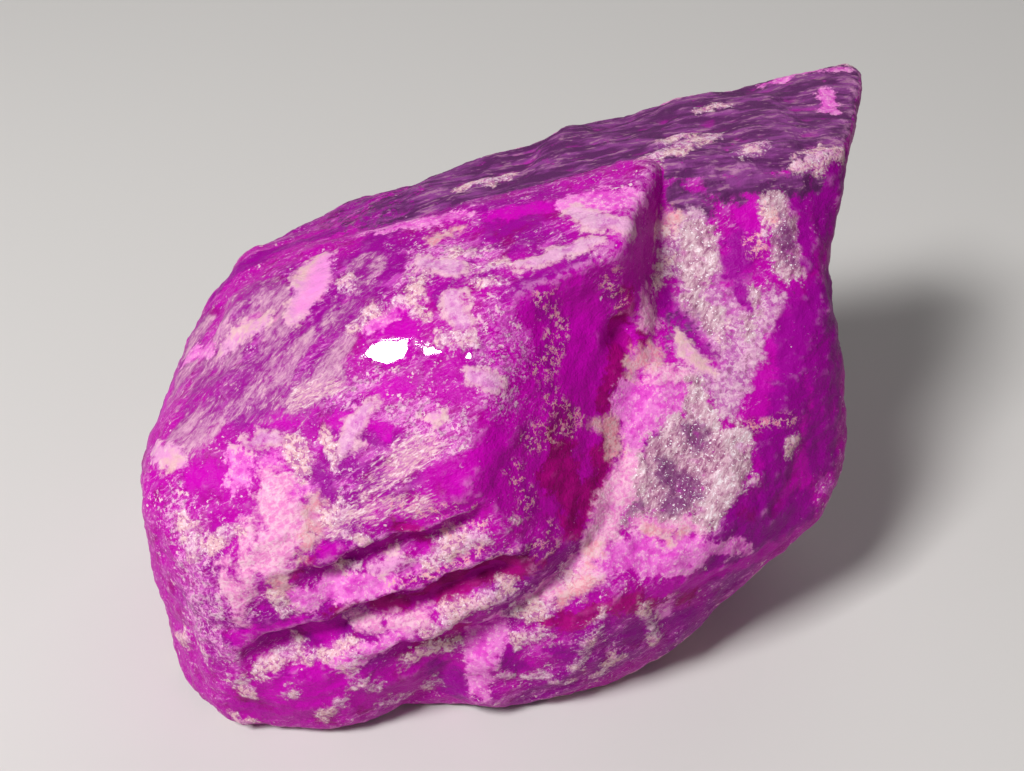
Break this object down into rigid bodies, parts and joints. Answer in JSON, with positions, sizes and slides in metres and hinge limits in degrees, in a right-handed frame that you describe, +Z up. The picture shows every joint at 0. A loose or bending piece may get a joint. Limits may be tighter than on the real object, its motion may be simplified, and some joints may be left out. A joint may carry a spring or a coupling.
{
  "type": "sugilite nodule",
  "caption": "Natural violet and magenta stone nodule, water-worn, with a pointed horn, a broken alcove face and ledges; rests on a flat underside.",
  "frame": {"origin": "middle of the stone's outline, at the level of the flat it rests on", "axes": "+Z up; +X along the stone's length, towards the end with the pointed horn; the broken alcove and the ledges face -Y"},
  "size_m": [0.0382, 0.0288, 0.0244],
  "materials": {
    "sugilite": "waxy, semi-polished magenta to violet, with matt pale pink and cream crust along ridges and ledges"
  },
  "bodies": {
    "root": {"sugilite_nodule": "sugilite"}
  },
  "joints": []
}
